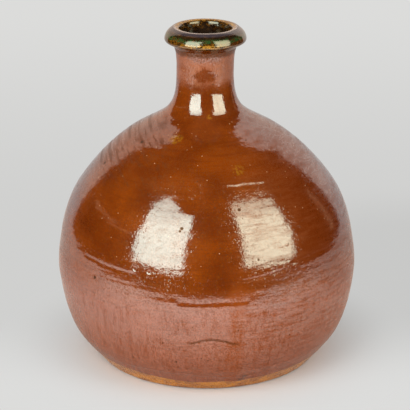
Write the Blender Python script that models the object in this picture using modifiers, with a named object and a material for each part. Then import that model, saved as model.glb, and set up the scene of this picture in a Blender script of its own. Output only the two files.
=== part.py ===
"""Wheel-thrown stoneware bottle: a round belly, a luted neck and a rolled collar.

Metres, +Z up, with the origin under the middle of the foot. Every piece is a profile
turned about the Z axis. The clay is drawn first, and each glaze coat follows the clay
that it lies on at a fixed distance.
"""
import math

import bpy
from mathutils import Vector
from mathutils.geometry import interpolate_bezier

MM = 0.001

# Clay outside, from the table up: each rise starts where the one before it ends
FOOT_RADIUS = 64.8 * MM
TURNED_RISE = 16.1 * MM
TURNED_FLARE = 12.5 * MM
LOWER_BELLY_RISE = 42.4 * MM
BELLY_RADIUS = 87.4 * MM
SHOULDER_RISE = 86.0 * MM
NECK_ROOT_RISE = 29.4 * MM
NECK_ROOT_FLARE = 13.9 * MM
NECK_RADIUS = 15.6 * MM
NECK_RISE = 15.6 * MM
NECK_TOP_FLARE = 1.95 * MM

# How full each curve is: the length of its handle at either end
TURNED_FULLNESS = 10.5 * MM
LOWER_BELLY_FULLNESS = 13.2 * MM
UPPER_BELLY_FULLNESS = 57.7 * MM
SHOULDER_FULLNESS = 10.1 * MM
NECK_ROOT_FULLNESS = 11.6 * MM
NECK_WAIST_FULLNESS = 18.6 * MM
NECK_TOP_FULLNESS = 4.6 * MM
SHOULDER_PITCH = math.radians(31.1)
NECK_TOP_PITCH = math.radians(63.0)

# Rolled collar: the roll's own radius, where its middle is from the neck's top, and how
# steeply its outer side hangs below its inner side
ROLL_RADIUS = 3.4 * MM
ROLL_OVERHANG = 1.4 * MM
ROLL_RISE = 5.9 * MM
ROLL_FILLET = 1.4 * MM
ROLL_START = math.radians(-75)
ROLL_END = math.radians(174)
ROLL_DROOP = math.radians(12)

# Clay inside
WALL_THICKNESS = 5.0 * MM
FLOOR_THICKNESS = 7.0 * MM
FLOOR_CORNER = 15.0 * MM
FLOOR_CORNER_FULLNESS = 7.0 * MM
THROAT_FULLNESS = 9.0 * MM
THROAT_TOP_FULLNESS = 9.0 * MM

# Turned foot ring
FOOT_RING_WIDTH = 9.0 * MM
FOOT_RECESS_DEPTH = 4.0 * MM
FOOT_RECESS_DRAFT = 1.2 * MM
FOOT_BEVEL = 0.7 * MM

# Luted joint between shoulder and neck
JOINT_RISE = 5.5 * MM
LUTE_THICKNESS = 1.2 * MM
LUTE_BEAD_WIDTH = 4.0 * MM
LUTE_BEAD_HEIGHT = 0.25 * MM

# Glaze coats, and the gap that keeps touching pieces apart
GLAZE_THICKNESS = 0.8 * MM
FOOT_BAND_THICKNESS = 0.5 * MM
FOOT_BAND_START = 1.0 * MM
FOOT_BAND_HEIGHT = 5.3 * MM
RIM_GLAZE_DEPTH = 6.0 * MM
RIM_GLAZE_HEM = 1.5 * MM
FIT_GAP = 0.3 * MM

# How finely the curves are drawn
TURN_STEPS = 40
MERGE_DISTANCE = 0.01 * MM
LOWER_BELLY_STEPS = 4
UPPER_BELLY_STEPS = 8
NECK_ROOT_STEPS = 6
NECK_STEPS = 3
FILLET_STEPS = 2
ROLL_STEPS = 8
THROAT_STEPS = 3
FLOOR_CORNER_STEPS = 3
INNER_LOWER_STEPS = 3
INNER_UPPER_STEPS = 6
INNER_ROOT_STEPS = 4

# Heights that follow from the rises
BELLY_HEIGHT = TURNED_RISE + LOWER_BELLY_RISE
SHOULDER_HEIGHT = BELLY_HEIGHT + SHOULDER_RISE
WAIST_HEIGHT = SHOULDER_HEIGHT + NECK_ROOT_RISE
NECK_TOP_HEIGHT = WAIST_HEIGHT + NECK_RISE
JOINT_HEIGHT = SHOULDER_HEIGHT + JOINT_RISE
FLOOR_HEIGHT = FOOT_RECESS_DEPTH + FLOOR_THICKNESS
ROLL_CENTRE = Vector((NECK_RADIUS + NECK_TOP_FLARE + ROLL_OVERHANG, NECK_TOP_HEIGHT + ROLL_RISE))


def heading(pitch):
    """Unit direction in the profile plane, pitch measured up from the outward radius."""
    return Vector((math.cos(pitch), math.sin(pitch)))


UP = heading(math.pi / 2)
OUTWARD = heading(0)


def bezier(start, start_handle, end_handle, end, steps):
    """Points along one Bezier curve, both ends included."""
    return [Vector(point) for point in interpolate_bezier(start, start_handle, end_handle, end, steps + 1)]


def chain(*stretches):
    """Joins stretches end to end, dropping each shared point."""
    points = list(stretches[0])
    for stretch in stretches[1:]:
        points += stretch[1:]
    return points


def left_of(start, end):
    """Unit normal on the left of the way from start to end."""
    along = (end - start).normalized()
    return Vector((-along.y, along.x))


def beside(points, distance):
    """The line that runs a distance to the left of another, each of its edges parallel."""
    normals = [left_of(first, second) for first, second in zip(points, points[1:])]
    normals = [normals[0], *normals, normals[-1]]
    moved = []
    for point, before, after in zip(points, normals, normals[1:]):
        middle = (before + after).normalized()
        moved.append(point + middle * (distance / middle.dot(after)))
    return moved


def crossing(first, second, height):
    """The point of an edge that lies at a height."""
    share = (height - first.y) / (second.y - first.y)
    return first.lerp(second, share)


def between(points, low, high):
    """The stretch of a rising line from one height to another, cut exactly there."""
    kept = []
    for first, second in zip(points, points[1:]):
        if first.y < low < second.y:
            kept.append(crossing(first, second, low))
        if low <= second.y <= high:
            kept.append(second)
        if first.y < high < second.y:
            kept.append(crossing(first, second, high))
    if points[0].y >= low:
        kept.insert(0, points[0])
    return kept


def foot_edge():
    """Where the clay outside meets the table."""
    return Vector((FOOT_RADIUS, 0))


def turned_edge():
    """The top of the cone that is turned above the foot."""
    return foot_edge() + Vector((TURNED_FLARE, TURNED_RISE))


def turned_way():
    """The way up the turned cone."""
    return (turned_edge() - foot_edge()).normalized()


def lower_belly(steps):
    """Clay outside from the turned cone to the widest part of the belly."""
    belly = Vector((BELLY_RADIUS, BELLY_HEIGHT))
    turned = turned_edge()
    turned_handle = turned + turned_way() * TURNED_FULLNESS
    return bezier(turned, turned_handle, belly - UP * LOWER_BELLY_FULLNESS, belly, steps)


def shoulder_and_neck(belly_steps, root_steps):
    """Clay outside from the widest part of the belly to the waist of the neck."""
    belly = Vector((BELLY_RADIUS, BELLY_HEIGHT))
    shoulder = Vector((NECK_RADIUS + NECK_ROOT_FLARE, SHOULDER_HEIGHT))
    waist = Vector((NECK_RADIUS, WAIST_HEIGHT))
    climb = heading(math.pi - SHOULDER_PITCH)
    upper_belly = bezier(
        belly, belly + UP * UPPER_BELLY_FULLNESS, shoulder - climb * SHOULDER_FULLNESS, shoulder, belly_steps
    )
    root = bezier(
        shoulder, shoulder + climb * NECK_ROOT_FULLNESS, waist - UP * NECK_WAIST_FULLNESS, waist, root_steps
    )
    return chain(upper_belly, root)


def with_lute_bead(points):
    """Raises the ring of squeezed-out slip on the line, at the height of the joint."""
    half = LUTE_BEAD_WIDTH / 2
    below = between(points, points[0].y, JOINT_HEIGHT - half)
    above = between(points, JOINT_HEIGHT + half, points[-1].y)
    crest = (below[-1] + above[0]) / 2
    crest -= left_of(below[-1], above[0]) * LUTE_BEAD_HEIGHT
    return [*below, crest, *above]


def clay_outside():
    """Clay outline from the foot to the top of the neck, under the collar."""
    waist = Vector((NECK_RADIUS, WAIST_HEIGHT))
    top = Vector((NECK_RADIUS + NECK_TOP_FLARE, NECK_TOP_HEIGHT))
    top_handle = top - heading(NECK_TOP_PITCH) * NECK_TOP_FULLNESS
    neck = bezier(waist, waist + UP * NECK_TOP_FULLNESS, top_handle, top, NECK_STEPS)
    upper = with_lute_bead(shoulder_and_neck(UPPER_BELLY_STEPS, NECK_ROOT_STEPS))
    return chain([foot_edge(), turned_edge()], lower_belly(LOWER_BELLY_STEPS), upper, neck)


def drooped(direction):
    """A direction, sheared as the roll is: the further out, the lower."""
    return direction - UP * (direction.x * math.tan(ROLL_DROOP))


def roll_point(angle):
    """A point on the clay roll of the collar."""
    return ROLL_CENTRE + drooped(heading(angle)) * ROLL_RADIUS


def roll_way(angle):
    """The way along the roll at a point of it."""
    return drooped(heading(angle + math.pi / 2)).normalized()


def collar_outside():
    """From the top of the neck through the fillet, and over the roll into the mouth."""
    top = Vector((NECK_RADIUS + NECK_TOP_FLARE, NECK_TOP_HEIGHT))
    under = roll_point(ROLL_START)
    fillet = bezier(
        top,
        top + heading(NECK_TOP_PITCH) * ROLL_FILLET,
        under - roll_way(ROLL_START) * ROLL_FILLET,
        under,
        FILLET_STEPS,
    )
    turn = (ROLL_END - ROLL_START) / ROLL_STEPS
    roll = [roll_point(ROLL_START + turn * step) for step in range(ROLL_STEPS + 1)]
    return chain(fillet, roll)


def clay_inside():
    """Clay line of the hollow, from the middle of the floor up to the mouth."""
    skin = chain(lower_belly(INNER_LOWER_STEPS), shoulder_and_neck(INNER_UPPER_STEPS, INNER_ROOT_STEPS))
    wall = beside(skin, WALL_THICKNESS)
    edge = Vector((wall[0].x - FLOOR_CORNER, FLOOR_HEIGHT))
    corner = bezier(
        edge,
        edge + OUTWARD * FLOOR_CORNER_FULLNESS,
        wall[0] - turned_way() * FLOOR_CORNER_FULLNESS,
        wall[0],
        FLOOR_CORNER_STEPS,
    )
    mouth = roll_point(ROLL_END)
    throat = bezier(
        wall[-1],
        wall[-1] + UP * THROAT_FULLNESS,
        mouth + roll_way(ROLL_END) * THROAT_TOP_FULLNESS,
        mouth,
        THROAT_STEPS,
    )
    return [Vector((0, FLOOR_HEIGHT)), *chain(corner, wall, throat)]


def foot_underside(ring_edge):
    """The foot ring and the shallow recess inside it, from the ring's edge inwards."""
    ring_inside = FOOT_RADIUS - FOOT_RING_WIDTH
    return [
        ring_edge,
        Vector((FOOT_RADIUS - FOOT_BEVEL, 0)),
        Vector((ring_inside, 0)),
        Vector((ring_inside - FOOT_RECESS_DRAFT, FOOT_RECESS_DEPTH)),
        Vector((0, FOOT_RECESS_DEPTH)),
    ]


def belly_profile(outside, inside):
    """Floor, wall and turned foot, up to the flat seat that the neck is luted on."""
    seat = JOINT_HEIGHT - LUTE_THICKNESS / 2 - FIT_GAP
    wall_up = between(inside, inside[0].y, seat)
    wall_down = list(reversed(between(outside, FOOT_BEVEL, seat)))
    return [*wall_up, *wall_down[:-1], *foot_underside(wall_down[-1])]


def lute_profile(outside, inside):
    """The ring of slip between the two seats."""
    low = JOINT_HEIGHT - LUTE_THICKNESS / 2
    high = JOINT_HEIGHT + LUTE_THICKNESS / 2
    return between(inside, low, high) + list(reversed(between(outside, low, high)))


def neck_profile(outside, inside, collar):
    """Neck, flare and rolled collar, down to the flat seat at its root."""
    seat = JOINT_HEIGHT + LUTE_THICKNESS / 2 + FIT_GAP
    bore = between(inside, seat, inside[-1].y)
    skin = chain(between(outside, seat, outside[-1].y), collar)
    return bore[:-1] + list(reversed(skin))


def coat_profile(clay, thickness):
    """A coat that follows a stretch of clay, on the right of the way along it."""
    against_clay = beside(clay, -FIT_GAP)
    skin = beside(clay, -FIT_GAP - thickness)
    return against_clay + list(reversed(skin))


def rim_stretch(outside, collar, inside):
    """The clay that the rim glaze covers: the neck's top, the collar and the throat's start."""
    mouth = inside[-1]
    hem = between(outside, NECK_TOP_HEIGHT - RIM_GLAZE_HEM, NECK_TOP_HEIGHT)
    throat = between(inside, mouth.y - RIM_GLAZE_DEPTH, mouth.y)
    return chain(hem, collar, list(reversed(throat)))


def liner_profile(inside):
    """The coat inside, from the middle of the floor up to the rim glaze."""
    top = inside[-1].y - RIM_GLAZE_DEPTH - FIT_GAP
    clay = between(inside, inside[0].y, top)
    return beside(clay, FIT_GAP + GLAZE_THICKNESS) + list(reversed(beside(clay, FIT_GAP)))


def finish(name, colour, roughness):
    """A Principled material."""
    material = bpy.data.materials.new(name)
    material.use_nodes = True
    shader = material.node_tree.nodes["Principled BSDF"]
    shader.inputs["Base Color"].default_value = (*colour, 1)
    shader.inputs["Roughness"].default_value = roughness
    shader.inputs["Metallic"].default_value = 0
    material.diffuse_color = (*colour, 1)
    return material


def clockwise(points):
    """The same outline, running up its inner side and down its outer side."""
    area = sum(a.x * b.y - b.x * a.y for a, b in zip(points, [*points[1:], points[0]]))
    return list(reversed(points)) if area > 0 else points


def turn(name, profile, base, material, collection, axis):
    """Turns a profile about the bottle's axis. It closes on itself unless it meets the axis.

    The piece's own origin lies on the axis at the height of its base.
    """
    profile = clockwise(profile)
    last = len(profile) - 1
    edges = [(step, step + 1) for step in range(last)]
    if profile[0].x > 0:
        edges.append((last, 0))
    mesh = bpy.data.meshes.new(name)
    mesh.from_pydata([(point.x, 0, point.y - base) for point in profile], edges, [])
    mesh.materials.append(material)
    piece = bpy.data.objects.new(name, mesh)
    piece.location.z = base
    piece.parent = axis
    collection.objects.link(piece)
    screw = piece.modifiers.new("Turn", "SCREW")
    screw.steps = TURN_STEPS
    screw.render_steps = TURN_STEPS
    screw.use_smooth_shade = True
    screw.use_merge_vertices = True
    screw.merge_threshold = MERGE_DISTANCE
    return piece


def main():
    """Clears the scene and builds the bottle."""
    for item in list(bpy.data.objects):
        bpy.data.objects.remove(item)
    collection = bpy.data.collections.new("stoneware_bottle")
    bpy.context.scene.collection.children.link(collection)
    axis = bpy.data.objects.new("bottle_axis", None)
    collection.objects.link(axis)

    clay = finish("Fired clay", (0.33, 0.19, 0.11), 0.75)
    slip = finish("Joining slip", (0.28, 0.17, 0.10), 0.8)
    iron_glaze = finish("Iron glaze", (0.30, 0.062, 0.008), 0.12)
    amber_glaze = finish("Amber glaze", (0.50, 0.22, 0.03), 0.2)
    rim_glaze = finish("Rim glaze", (0.16, 0.10, 0.03), 0.12)
    liner_glaze = finish("Liner glaze", (0.14, 0.045, 0.012), 0.15)

    outside = clay_outside()
    inside = clay_inside()
    collar = collar_outside()
    band_top = FOOT_BAND_START + FOOT_BAND_HEIGHT
    band = between(outside, FOOT_BAND_START, band_top)
    body = between(outside, band_top + FIT_GAP, NECK_TOP_HEIGHT - RIM_GLAZE_HEM - FIT_GAP)

    turn("thrown_belly", belly_profile(outside, inside), 0, clay, collection, axis)
    turn("luting_ring", lute_profile(outside, inside), JOINT_HEIGHT, slip, collection, axis)
    turn("thrown_neck", neck_profile(outside, inside, collar), JOINT_HEIGHT, clay, collection, axis)
    turn("foot_glaze_band", coat_profile(band, FOOT_BAND_THICKNESS), 0, amber_glaze, collection, axis)
    turn("body_glaze", coat_profile(body, GLAZE_THICKNESS), 0, iron_glaze, collection, axis)
    rim = coat_profile(rim_stretch(outside, collar, inside), GLAZE_THICKNESS)
    turn("rim_glaze", rim, NECK_TOP_HEIGHT, rim_glaze, collection, axis)
    turn("liner_glaze", liner_profile(inside), FLOOR_HEIGHT, liner_glaze, collection, axis)


main()
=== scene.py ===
"""Looks of a wheel-thrown stoneware bottle in a glossy iron-brown glaze.

Metres, +Z up, the bottle's axis on Z, its front to -Y. The clay is one line turned about
the axis, from the foot over the collar down to the floor inside, and every coat of glaze
follows a stretch of it.
"""
import logging
import math
from dataclasses import dataclass, field
from enum import Enum
from typing import Any, Callable, Sequence

import bpy
import numpy as np
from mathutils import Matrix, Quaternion, Vector


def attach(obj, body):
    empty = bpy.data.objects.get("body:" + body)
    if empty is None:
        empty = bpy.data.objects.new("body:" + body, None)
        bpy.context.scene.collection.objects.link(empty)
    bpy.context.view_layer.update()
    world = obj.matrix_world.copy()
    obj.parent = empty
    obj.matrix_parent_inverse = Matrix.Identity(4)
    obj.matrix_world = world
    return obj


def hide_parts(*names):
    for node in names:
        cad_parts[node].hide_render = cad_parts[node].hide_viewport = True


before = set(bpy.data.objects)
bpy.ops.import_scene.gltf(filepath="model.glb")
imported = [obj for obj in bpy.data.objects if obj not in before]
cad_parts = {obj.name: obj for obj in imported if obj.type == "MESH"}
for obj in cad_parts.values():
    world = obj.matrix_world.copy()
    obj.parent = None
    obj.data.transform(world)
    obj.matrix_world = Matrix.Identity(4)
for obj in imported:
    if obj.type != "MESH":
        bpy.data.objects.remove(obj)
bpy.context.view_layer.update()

MM = 0.001
DEGREE = math.pi / 180
FULL_TURN = 2 * math.pi
BLACK = (0.0, 0.0, 0.0)
LOG = logging.getLogger("bottle")

Colour = tuple[float, float, float]
Place = tuple[float, float, float]
Fade = tuple[float, float]
Band = tuple[float, float, float]
Rows = np.ndarray
Piece = bpy.types.Object
Material = bpy.types.Material
Socket = bpy.types.NodeSocket


def linear(red: int, green: int, blue: int) -> Colour:
    """Turns an 8-bit display colour into the linear colour that shaders take.

    Args:
        red: Red, 0 to 255.
        green: Green, 0 to 255.
        blue: Blue, 0 to 255.

    Returns:
        The linear colour.
    """
    shares = [channel / 255 for channel in (red, green, blue)]
    return tuple(share / 12.92 if share <= 0.04045 else ((share + 0.055) / 1.055) ** 2.4 for share in shares)


def bezier(start: Rows, handle: Rows, end: Rows, end_handle: Rows, steps: int = 120) -> Rows:
    """Samples one Bezier curve.

    Args:
        start: First point.
        handle: How far, and which way, it leaves the first point.
        end: Last point.
        end_handle: How far, and which way, it comes in to the last point.
        steps: How many stretches to cut it into.

    Returns:
        The points, one row each.
    """
    t = np.linspace(0, 1, steps + 1)[:, None]
    s = 1 - t
    ends = s**3 * start + t**3 * end
    return ends + 3 * s * s * t * (start + handle) + 3 * s * t * t * (end - end_handle)


def heading(pitch: float) -> Rows:
    """Unit direction in the profile plane, pitch measured up from the outward radius."""
    return np.array([math.cos(pitch), math.sin(pitch)])


UP = heading(math.pi / 2)


def smooth_step(low: float, high: float, values: Rows) -> Rows:
    """Rises smoothly from 0 at low to 1 at high."""
    share = np.clip((values - low) / (high - low), 0, 1)
    return share * share * (3 - 2 * share)


def hump(values: Rows, middle: Rows | float, half_width: float) -> Rows:
    """A smooth hump of height 1 at middle that fades out beyond half_width."""
    return np.exp(-(((values - middle) / half_width) ** 2))


def even_turns(columns: int) -> Rows:
    """The turns of columns spaced evenly round the axis, in one row; 0 is the front."""
    return np.linspace(-math.pi, math.pi, columns, endpoint=False)[None, :]


def beside(points: Rows, distance: float) -> Rows:
    """The line that runs a distance to the left of another.

    Args:
        points: The line, one point a row.
        distance: How far to move it; negative is to the right.

    Returns:
        The moved points.
    """
    way = np.gradient(points, axis=0)
    way /= np.linalg.norm(way, axis=1)[:, None]
    return points + np.stack([-way[:, 1], way[:, 0]], axis=1) * distance


class Line:
    """A line in the profile plane, measured along its length."""

    def __init__(self, points: Rows) -> None:
        """Keeps the points and measures them."""
        self.points = points
        steps = np.linalg.norm(np.diff(points, axis=0), axis=1)
        self.along = np.concatenate([[0], np.cumsum(steps)])

    @property
    def length(self) -> float:
        """Length of the whole line."""
        return float(self.along[-1])

    def at(self, along: Rows) -> Rows:
        """Points at distances along the line."""
        columns = [np.interp(along, self.along, self.points[:, axis]) for axis in (0, 1)]
        return np.stack(columns, axis=-1)

    def normals(self, along: Rows, reach: float = 0.6 * MM) -> Rows:
        """Unit normals on the right of the way, out of the clay.

        Args:
            along: Distances along the line.
            reach: How far each is averaged over, both ways.

        Returns:
            The normals.
        """
        ahead = self.at(np.clip(along + reach, 0, self.length))
        way = ahead - self.at(np.clip(along - reach, 0, self.length))
        way /= np.linalg.norm(way, axis=-1)[..., None]
        return np.stack([way[..., 1], -way[..., 0]], axis=-1)

    def evened(self, spacing: float) -> "Line":
        """The same line with its points at an even spacing."""
        count = int(self.length / spacing) + 1
        return Line(self.at(np.linspace(0, self.length, count)))

    def where(self, height: float, inside: bool = False) -> float:
        """Finds a height on the line.

        Args:
            height: The height.
            inside: Looks for the last place, inside the bottle, and not for the first.

        Returns:
            Distance along the line at which it passes the height.
        """
        above = self.points[:, 1] >= height
        crossings = np.flatnonzero(above[1:] != above[:-1])
        return float(self.along[crossings[-1] if inside else crossings[0]])


@dataclass(frozen=True)
class ClayLine:
    """The clay's own outline, in the sizes of the solid model."""

    foot_radius: float = 64.8 * MM
    turned_rise: float = 16.1 * MM
    turned_flare: float = 12.5 * MM
    lower_belly_rise: float = 42.4 * MM
    belly_radius: float = 87.4 * MM
    shoulder_rise: float = 86.0 * MM
    neck_root_rise: float = 29.4 * MM
    neck_root_flare: float = 13.9 * MM
    neck_radius: float = 15.6 * MM
    neck_rise: float = 15.6 * MM
    neck_top_flare: float = 1.95 * MM
    turned_straight: float = 5.0 * MM
    turned_fullness: float = 10.5 * MM
    lower_belly_fullness: float = 13.2 * MM
    upper_belly_fullness: float = 57.7 * MM
    shoulder_fullness: float = 10.1 * MM
    neck_root_fullness: float = 11.6 * MM
    neck_waist_fullness: float = 18.6 * MM
    neck_top_fullness: float = 4.6 * MM
    shoulder_pitch: float = 31.1 * DEGREE
    neck_top_pitch: float = 63.0 * DEGREE
    roll_radius: float = 3.4 * MM
    roll_overhang: float = 1.4 * MM
    roll_rise: float = 5.9 * MM
    roll_fillet: float = 1.4 * MM
    roll_start: float = -75 * DEGREE
    roll_end: float = 174 * DEGREE
    roll_droop: float = 12 * DEGREE
    roll_steps: int = 180
    wall: float = 5.0 * MM
    floor_height: float = 11.0 * MM
    floor_corner: float = 15.0 * MM
    floor_corner_fullness: float = 7.0 * MM
    throat_fullness: float = 9.0 * MM
    throat_top_fullness: float = 9.0 * MM
    foot_bevel: float = 0.7 * MM
    foot_edge_inset: float = 0.2 * MM
    foot_edge_rise: float = 0.25 * MM
    foot_ring_width: float = 9.0 * MM
    foot_ring_bevel: float = 0.4 * MM
    foot_recess_depth: float = 4.0 * MM
    foot_recess_draft: float = 1.2 * MM
    foot_spacing: float = 0.4 * MM
    axis_gap: float = 0.2 * MM
    joint_height: float = 150.0 * MM
    spacing: float = 0.25 * MM

    @property
    def belly(self) -> Rows:
        """The widest point."""
        return np.array([self.belly_radius, self.turned_rise + self.lower_belly_rise])

    @property
    def waist(self) -> Rows:
        """The narrowest point of the neck."""
        return np.array([self.neck_radius, self.belly[1] + self.shoulder_rise + self.neck_root_rise])

    @property
    def neck_top(self) -> Rows:
        """Where the neck ends and the collar's fillet starts."""
        return self.waist + np.array([self.neck_top_flare, self.neck_rise])

    @property
    def roll_centre(self) -> Rows:
        """The middle of the collar's roll."""
        return self.neck_top + np.array([self.roll_overhang, self.roll_rise])

    @property
    def turned_way(self) -> Rows:
        """Unit way up the turned edge of the foot."""
        edge = np.array([self.turned_flare, self.turned_rise])
        return edge / np.linalg.norm(edge)

    def drooped(self, direction: Rows) -> Rows:
        """A direction, sheared as the roll is: the further out, the lower."""
        return direction - UP * direction[0] * math.tan(self.roll_droop)

    def on_roll(self, angle: float) -> Rows:
        """A point on the clay roll of the collar."""
        return self.roll_centre + self.drooped(heading(angle)) * self.roll_radius

    def roll_way(self, angle: float) -> Rows:
        """The way along the roll at a point of it."""
        way = self.drooped(heading(angle + math.pi / 2))
        return way / np.linalg.norm(way)

    def foot_to_belly(self) -> tuple[Rows, Rows]:
        """Draws the clay outside, from the foot up.

        Returns:
            The turned edge, and the stretch from there to the belly.
        """
        foot = np.array([self.foot_radius, 0.0])
        turned = foot + np.array([self.turned_flare, self.turned_rise])
        way = self.turned_way
        straight = way * self.turned_straight
        edge = bezier(foot, straight, turned, straight)
        lower = bezier(turned, way * self.turned_fullness, self.belly, UP * self.lower_belly_fullness)
        return edge, lower

    def belly_to_waist(self) -> Rows:
        """Draws the clay outside, from the widest part up to the neck's waist.

        Returns:
            Its points.
        """
        shoulder = self.belly * UP + np.array([self.neck_radius + self.neck_root_flare, self.shoulder_rise])
        climb = heading(math.pi - self.shoulder_pitch)
        upper = bezier(self.belly, UP * self.upper_belly_fullness, shoulder, climb * self.shoulder_fullness)
        root = bezier(shoulder, climb * self.neck_root_fullness, self.waist, UP * self.neck_waist_fullness)
        return np.vstack([upper, root[1:]])

    def outside(self) -> Rows:
        """Draws the clay outside, from the foot to the neck's top.

        Returns:
            Its points.
        """
        edge, lower = self.foot_to_belly()
        climb = heading(self.neck_top_pitch) * self.neck_top_fullness
        neck = bezier(self.waist, UP * self.neck_top_fullness, self.neck_top, climb)
        return np.vstack([edge, lower[1:], self.belly_to_waist()[1:], neck[1:]])

    def collar(self) -> Rows:
        """Draws the fillet under the collar and the roll over into the mouth.

        Returns:
            Its points.
        """
        climb = heading(self.neck_top_pitch) * self.roll_fillet
        onto_roll = self.roll_way(self.roll_start) * self.roll_fillet
        fillet = bezier(self.neck_top, climb, self.on_roll(self.roll_start), onto_roll)
        roll = [self.on_roll(angle) for angle in np.linspace(self.roll_start, self.roll_end, self.roll_steps)]
        return np.vstack([fillet, roll[1:]])

    def inside(self) -> Rows:
        """Draws the hollow, from the mouth down to the middle of the floor.

        Returns:
            Its points.
        """
        wall = beside(np.vstack([self.foot_to_belly()[1], self.belly_to_waist()[1:]]), self.wall)
        edge = np.array([wall[0, 0] - self.floor_corner, self.floor_height])
        fullness = self.floor_corner_fullness
        corner = bezier(edge, heading(0) * fullness, wall[0], self.turned_way * fullness)
        into_mouth = self.roll_way(self.roll_end) * -self.throat_top_fullness
        throat = bezier(wall[-1], UP * self.throat_fullness, self.on_roll(self.roll_end), into_mouth)
        floor = np.array([[0.0, self.floor_height]])
        return np.vstack([floor, corner, wall[1:], throat[1:]])[::-1]

    def underside(self) -> Rows:
        """Draws the recess and the foot ring round it, from the axis out.

        Returns:
            Its points.
        """
        ring_inside = self.foot_radius - self.foot_ring_width
        corners = [
            [self.axis_gap, self.foot_recess_depth],
            [ring_inside - self.foot_recess_draft, self.foot_recess_depth],
            [ring_inside, self.foot_edge_rise],
            [ring_inside + self.foot_ring_bevel, 0],
            [self.foot_radius - self.foot_bevel, 0],
            [self.foot_radius - self.foot_edge_inset, self.foot_edge_rise],
        ]
        return Line(np.array(corners)).evened(self.foot_spacing).points

    def whole(self) -> Line:
        """The whole line, from the foot's edge over the collar to the middle of the floor."""
        joined = np.vstack([self.outside(), self.collar()[1:], self.inside()[1:]])
        return Line(joined).evened(self.spacing)


class Wheel:
    """The unevenness that hands and a wheel leave, the same at every run."""

    def __init__(self, seed: int) -> None:
        """Starts from a seed."""
        self.random = np.random.default_rng(seed)

    def swing(self, turns: Rows, waves: Sequence[int]) -> Rows:
        """A wave round the axis, about 1 high.

        Args:
            turns: Where round the axis.
            waves: How many swings each of its parts makes in the whole circle.

        Returns:
            The wave.
        """
        total = np.zeros_like(turns)
        for count in waves:
            total += self.random.normal() * np.cos(count * turns + self.random.uniform(0, FULL_TURN))
        return total / math.sqrt(len(waves))

    def field(self, shape: tuple[int, int], step: float, along: float, around: float) -> Rows:
        """A smooth random field over rows and columns, about 1 high, without a seam.

        Args:
            shape: Number of rows and columns.
            step: Distance between rows.
            along: Length of its swells along the line.
            around: Length of its swells round the axis, in turns of the whole circle.

        Returns:
            The field.
        """
        noise = np.fft.rfft2(self.random.normal(size=shape))
        rows = np.fft.fftfreq(shape[0], d=step)[:, None] * along
        columns = np.fft.rfftfreq(shape[1], d=1 / shape[1])[None, :] * around
        smooth = np.fft.irfft2(noise * np.exp(-2 * (rows**2 + columns**2)), s=shape)
        return smooth / smooth.std()


def meshed(name: str, vertices: Sequence[Place], faces: Sequence[Sequence[int]]) -> Piece:
    """Makes a mesh object in the scene.

    Args:
        name: Name of the object and its mesh.
        vertices: Its points.
        faces: Its faces, as numbers of points.

    Returns:
        The new object.
    """
    mesh = bpy.data.meshes.new(name)
    mesh.from_pydata(vertices, [], faces)
    piece = bpy.data.objects.new(name, mesh)
    bpy.context.scene.collection.objects.link(piece)
    return piece


def lathed(name: str, points: Rows, ring_section: bool) -> Piece:
    """Makes a closed, smooth shaded mesh from rows of points that run round the axis.

    Args:
        name: Name of the object.
        points: Array of rows, columns and coordinates. Columns run round the axis.
        ring_section: Joins the last row to the first; otherwise both are closed with a fan.

    Returns:
        The new object.
    """
    rows, columns, _ = points.shape
    index = np.arange(rows * columns).reshape(rows, columns)
    if ring_section:
        index = np.vstack([index, index[:1]])
    right = np.roll(index, -1, axis=1)
    faces = np.stack([index[:-1], right[:-1], right[1:], index[1:]], axis=-1).reshape(-1, 4).tolist()
    vertices = points.reshape(-1, 3).tolist()
    if not ring_section:
        for row, order in ((0, -1), (rows - 1, 1)):
            vertices.append(points[row].mean(axis=0).tolist())
            pairs = np.stack([index[row], right[row]], axis=-1)[:, ::order]
            faces += [[len(vertices) - 1, *pair] for pair in pairs.tolist()]
    piece = meshed(name, vertices, faces)
    piece.data.polygons.foreach_set("use_smooth", [True] * len(faces))
    piece.data.update()
    return piece


@dataclass(frozen=True)
class Lean:
    """How the bottle leans and bends a little, as a hand-thrown pot does on its own foot."""

    heights: tuple[float, ...] = (0.0, 60 * MM, 110 * MM, 170 * MM, 195 * MM)
    sideways: tuple[float, ...] = (0.0, -0.45 * MM, -0.55 * MM, -1.35 * MM, -1.05 * MM)
    nod: float = 0.034
    nod_start: float = 148 * MM
    nod_ease: float = 8 * MM

    def place(self, radii: Rows, heights: Rows, turns: Rows) -> Rows:
        """Puts radii and heights round the leaning axis.

        Args:
            radii: Radius of each point.
            heights: Height of each point.
            turns: Turn of each point, 0 at the front and growing to the right.

        Returns:
            Points in metres.
        """
        x = radii * np.sin(turns) + np.interp(heights, self.heights, self.sideways)
        over = np.maximum(heights - self.nod_start, 0)
        y = -radii * np.cos(turns) - self.nod * over**2 / (over + self.nod_ease)
        return np.stack(np.broadcast_arrays(x, y, heights), axis=-1)


LEAN = Lean()


@dataclass(frozen=True)
class Ridge:
    """A raised or sunk line on the glaze, drawn through points, in degrees and millimetres."""

    turns: tuple[float, ...]
    heights: tuple[float, ...]
    half_width: float
    rise: float
    darkening: float = 0.0
    fade: float = 4.0

    def share(self, skin: "Skin") -> Rows:
        """How much of the line there is at each point.

        Args:
            skin: The points.

        Returns:
            Shares, 0 to 1.
        """
        degrees = skin.turns / DEGREE
        path = skin.along_at(np.interp(degrees, self.turns, np.array(self.heights) * MM))
        ends = smooth_step(self.turns[0] - self.fade, self.turns[0], degrees)
        ends = ends * (1 - smooth_step(self.turns[-1], self.turns[-1] + self.fade, degrees))
        return hump(skin.along, path, self.half_width * MM) * ends

    def lift(self, skin: "Skin") -> Rows:
        """How far it moves each point out."""
        return self.rise * MM * self.share(skin)


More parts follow.
